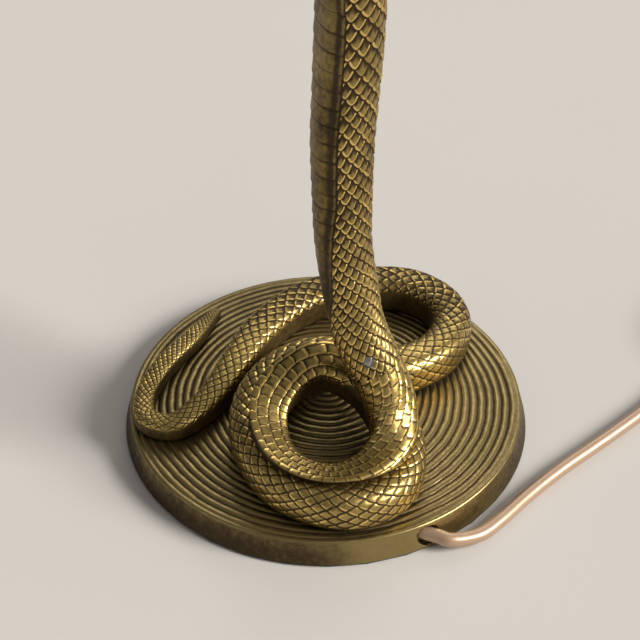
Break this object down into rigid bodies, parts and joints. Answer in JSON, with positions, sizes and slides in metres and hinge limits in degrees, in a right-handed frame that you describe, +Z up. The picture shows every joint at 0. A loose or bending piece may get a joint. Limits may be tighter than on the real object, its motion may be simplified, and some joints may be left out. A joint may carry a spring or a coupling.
{
  "type": "table lamp",
  "caption": "Cast bronze table lamp: a scaled cobra coiled on a ridged round base rises to a hood that carries a screw lampholder and bulb, with cord and plug.",
  "frame": {"origin": "middle of the base's underside, on the surface that the lamp stands on", "axes": "+Z up; the cobra's hood and head face -X; the cord leaves at the +X -Y side"},
  "size_m": [0.3544, 0.1793, 0.5267],
  "materials": {
    "ridged_bronze": "cast, patinated dark in the grooves, rubbed bright on the ridges",
    "scaled_bronze": "cast and chased scales, dark patina in the lines, rubbed bright on the scale faces",
    "dark_bronze": "dark patina, satin",
    "brass": "turned, bright",
    "steel": "zinc plated",
    "felt": "pressed wool felt",
    "holder_black": "moulded thermoset, satin",
    "holder_white": "glazed insulator, off white",
    "bulb_glass": "opal white glass",
    "sheath": "glossy round flexible cord, rose beige",
    "core_brown": "core insulation, brown",
    "core_blue": "core insulation, blue"
  },
  "bodies": {
    "lamp": {"base_casting": "ridged_bronze", "tail_casting": "scaled_bronze", "coil_casting": "scaled_bronze", "rise_casting": "scaled_bronze", "hood_casting": "scaled_bronze", "base_cover_plate": "steel", "felt_pad": "felt", "clamp_tube": "brass", "clamp_washer": "steel", "clamp_nut": "brass", "holder_tube": "brass", "holder_nut": "brass", "holder_cap": "dark_bronze", "holder_body": "holder_black", "holder_block": "holder_white", "centre_contact": "brass", "side_contact": "brass", "cord_clip": "steel", "cord_entry": "sheath", "core_live": "core_brown", "core_neutral": "core_blue", "cord_free": "sheath", "cord_coil": "sheath", "cord_tail": "sheath", "plug_body": "sheath", "plug_pin_1": "brass", "plug_pin_2": "brass", "cover_screw_1": "steel", "cover_screw_2": "steel", "cover_screw_3": "steel", "tail_screw_1": "steel", "tail_screw_2": "steel", "tail_screw_3": "steel", "coil_screw_1": "steel", "coil_screw_2": "steel", "cord_clip_screw": "steel"},
    "switch": {"switch_bar": "holder_black"},
    "ring_lower": {"shade_ring_lower": "holder_black"},
    "ring_upper": {"shade_ring_upper": "holder_black"},
    "bulb": {"bulb_cap": "steel", "bulb_glass": "bulb_glass", "bulb_foot": "brass"}
  },
  "joints": [
    {"name": "switch_push", "type": "slide", "parent": "lamp", "child": "switch", "axis": [0, 1, 0], "range_m": [0, 0.005]},
    {"name": "ring_lower_turn", "type": "hinge", "parent": "lamp", "child": "ring_lower", "pos_m": [0, 0, 0.4224], "axis": [0, 0, 1], "continuous": true},
    {"name": "ring_upper_turn", "type": "hinge", "parent": "lamp", "child": "ring_upper", "pos_m": [0, 0, 0.4334], "axis": [0, 0, 1], "continuous": true},
    {"name": "bulb_turn", "type": "hinge", "parent": "lamp", "child": "bulb", "pos_m": [0, 0, 0.435], "axis": [0, 0, 1], "continuous": true}
  ]
}
